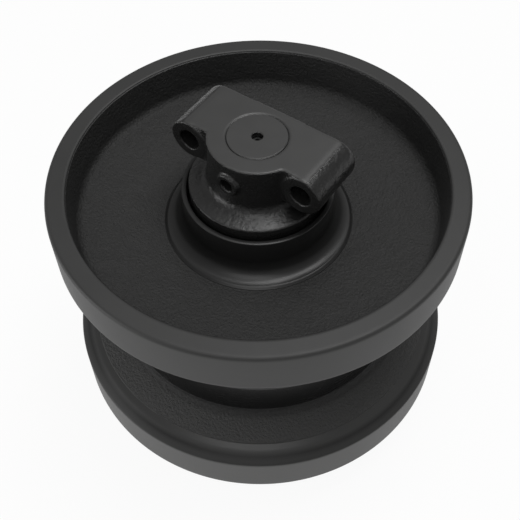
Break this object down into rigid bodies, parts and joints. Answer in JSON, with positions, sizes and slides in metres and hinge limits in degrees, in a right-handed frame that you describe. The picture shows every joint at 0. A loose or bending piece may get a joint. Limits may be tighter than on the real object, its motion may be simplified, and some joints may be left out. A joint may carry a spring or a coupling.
{
  "type": "track idler",
  "caption": "Track idler: hollow cast wheel with two rims and a guide groove, turning on a fixed shaft held by two bolted brackets.",
  "frame": {"origin": "centre of the wheel, on its axis, midway between the two rims", "axes": "+Z along the shaft, upwards as the idler stands on one bracket; X along the brackets, through both bolt ears; +Y towards the brackets' flat backs"},
  "size_m": [0.32, 0.32, 0.287],
  "materials": {
    "wheel_paint": "satin black paint over rough casting and turned rims",
    "bracket_paint": "satin black paint over casting",
    "shaft_paint": "satin black paint on turned steel ends",
    "weld_paint": "satin black paint over weld bead",
    "bush_bronze": "bronze lined bush",
    "seal_iron": "lapped white iron",
    "seal_rubber": "matt rubber",
    "pin_steel": "oiled hardened steel"
  },
  "bodies": {
    "axle": {"shaft": "shaft_paint", "oil_plug": "pin_steel", "bracket_upper": "bracket_paint", "bracket_lower": "bracket_paint", "lock_pin_upper": "pin_steel", "lock_pin_lower": "pin_steel", "shaft_o_ring_upper": "seal_rubber", "shaft_o_ring_lower": "seal_rubber", "stationary_seal_ring_upper": "seal_iron", "stationary_seal_ring_lower": "seal_iron", "stationary_toric_upper": "seal_rubber", "stationary_toric_lower": "seal_rubber"},
    "wheel": {"wheel_half_upper": "wheel_paint", "wheel_half_lower": "wheel_paint", "drum_weld": "weld_paint", "hub_weld": "weld_paint", "bush_upper": "bush_bronze", "bush_lower": "bush_bronze", "rotating_seal_ring_upper": "seal_iron", "rotating_seal_ring_lower": "seal_iron", "rotating_toric_upper": "seal_rubber", "rotating_toric_lower": "seal_rubber"}
  },
  "joints": [
    {"name": "wheel_spin", "type": "hinge", "parent": "axle", "child": "wheel", "pos_m": [0, 0, 0], "axis": [0, 0, 1], "continuous": true}
  ]
}
